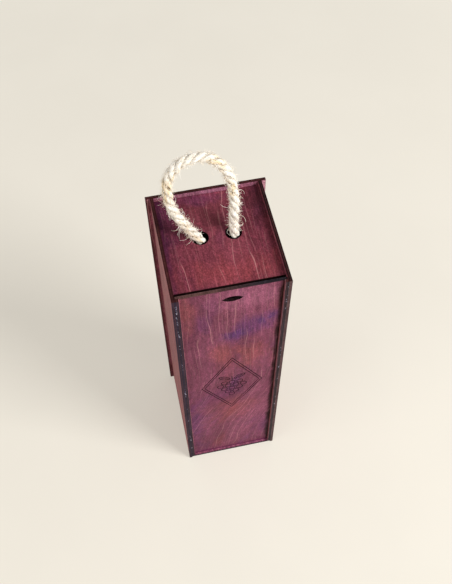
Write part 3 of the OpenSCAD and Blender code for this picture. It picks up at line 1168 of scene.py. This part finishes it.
def glue_material():
    """Dried glue, milky with clearer and greyer places."""
    graph = new_material("dried_glue")
    colour, tone = two_toned(graph, GLUE_CELLS, GLUE_MILKY, GLUE_CLEAR)
    graph.bump(tone, *GLUE_BUMP)
    return graph.finish(colour, GLUE_ROUGHNESS, GLUE_SPECULAR)


# Floor and backdrop, in metres. The floor glows by itself for FLOOR_GLOW of
# what the eye sees of it near the box, and for all of it from FLOOR_FAR on.
PALE_FLOOR = (242, 237, 225)
PALE_FLOOR_CLOUDS = (240, 235, 223)
FLOOR_CELLS = {"factors": (6.0, 6.0, 6.0), "detail": 3}
FLOOR_CLOUD_STEP = (0.3, 0.7)
FLOOR_ROUGHNESS = 0.8
FLOOR_SPECULAR = 0.1
FLOOR_GLOW = 0.45
FLOOR_NEAR = 0.35
FLOOR_FAR = 1.8


def looked_at(graph):
    """1 where the eye or a mirror sees a surface, and 0 where it only lights others."""
    path = graph.node("ShaderNodeLightPath").outputs
    seen = graph.math("ADD", path["Is Camera Ray"], path["Is Glossy Ray"])
    return graph.math("ADD", seen, path["Is Transmission Ray"], clamp=True)


def floor_material():
    """A plain pale floor, in part its own light where it is looked at, and wholly so far away."""
    graph = new_material("pale_floor")
    source = graph.node("ShaderNodeTexCoord")
    tone = graph.noise(source.outputs["Object"], **FLOOR_CELLS)
    clouds = graph.band(tone, *FLOOR_CLOUD_STEP)
    colour = graph.mix(clouds, paint(*PALE_FLOOR_CLOUDS), paint(*PALE_FLOOR))
    graph.finish(colour, FLOOR_ROUGHNESS, FLOOR_SPECULAR)
    glow = graph.node("ShaderNodeEmission")
    graph.feed(glow.inputs[0], colour)
    blend = graph.node("ShaderNodeMixShader")
    away = graph.distance(source.outputs["Object"], (0.0, 0.0, 0.0))
    share = graph.band(away, FLOOR_NEAR, FLOOR_FAR, FLOOR_GLOW, 1.0)
    graph.feed(blend.inputs[0], graph.math("MULTIPLY", looked_at(graph), share))
    graph.feed(blend.inputs[1], graph.shader.outputs[0])
    graph.feed(blend.inputs[2], glow.outputs[0])
    graph.feed(graph.tree.nodes["Material Output"].inputs[0], blend.outputs[0])
    return graph.owner


def give(piece, material):
    """Makes material the only one on the piece."""
    piece.data.materials.clear()
    piece.data.materials.append(material)


# Scene around the object, in metres

FLOOR_HALF = 10.0
FLOOR_DROP = 0.0002

# Lamps: place, size, power in watts and tint
LAMP_AIM = (0.0, 0.0, 0.25)
LAMPS = {
    "key": ((1.45, -1.15, 1.65), 1.0, 52.0, (1.0, 0.99, 0.98)),
    "fill": ((-1.6, -0.6, 1.3), 1.4, 10.0, (1.0, 0.96, 0.92)),
}
WORLD_TINT = (1.0, 0.965, 0.92, 1.0)
WORLD_STRENGTH = 0.38


def make_floor():
    """A wide floor just under the box."""
    corners = [(x * FLOOR_HALF, y * FLOOR_HALF, 0) for x, y in ((-1, -1), (1, -1), (1, 1), (-1, 1))]
    mesh = bpy.data.meshes.new("floor")
    mesh.from_pydata(corners, [], [(0, 1, 2, 3)])
    floor = link("floor", mesh)
    floor.location.z = -FLOOR_DROP
    give(floor, floor_material())


def make_lamp(name, place, size, power, tint):
    """A soft square lamp that points at the box."""
    data = bpy.data.lights.new(name, "AREA")
    data.shape = "SQUARE"
    data.size = size
    data.energy = power
    data.color = tint
    lamp = bpy.data.objects.new(name, data)
    bpy.context.scene.collection.objects.link(lamp)
    lamp.location = place
    lamp.rotation_mode = "QUATERNION"
    lamp.rotation_quaternion = (Vector(LAMP_AIM) - Vector(place)).to_track_quat("-Z", "Y")


def make_world():
    """Even light from all round, which looks like a pale backdrop where it is seen."""
    graph = Graph(bpy.data.worlds.new("studio"))
    light = graph.tree.nodes["Background"]
    light.inputs[0].default_value = WORLD_TINT
    light.inputs[1].default_value = WORLD_STRENGTH
    backdrop = graph.node("ShaderNodeBackground")
    backdrop.inputs[0].default_value = paint(*PALE_FLOOR)
    blend = graph.node("ShaderNodeMixShader")
    graph.feed(blend.inputs[0], looked_at(graph))
    graph.feed(blend.inputs[1], light.outputs[0])
    graph.feed(blend.inputs[2], backdrop.outputs[0])
    graph.feed(graph.tree.nodes["World Output"].inputs[0], blend.outputs[0])
    bpy.context.scene.world = graph.owner


# The scene itself

make_camera()
rope_pieces = make_rope()
for rope_part in rope_pieces[:3]:
    give(rope_part, rope_material(f"{rope_part.name}_fibre", rope_part.name.endswith("_knot")))
give(rope_pieces[3], fibre_material())
give(make_glue(), glue_material())
for panel in SHEETS:
    give(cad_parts[panel.node], plywood(panel))
make_floor()
for lamp_name, lamp_values in LAMPS.items():
    make_lamp(lamp_name, *lamp_values)
make_world()
bpy.context.scene.view_settings.view_transform = "Standard"
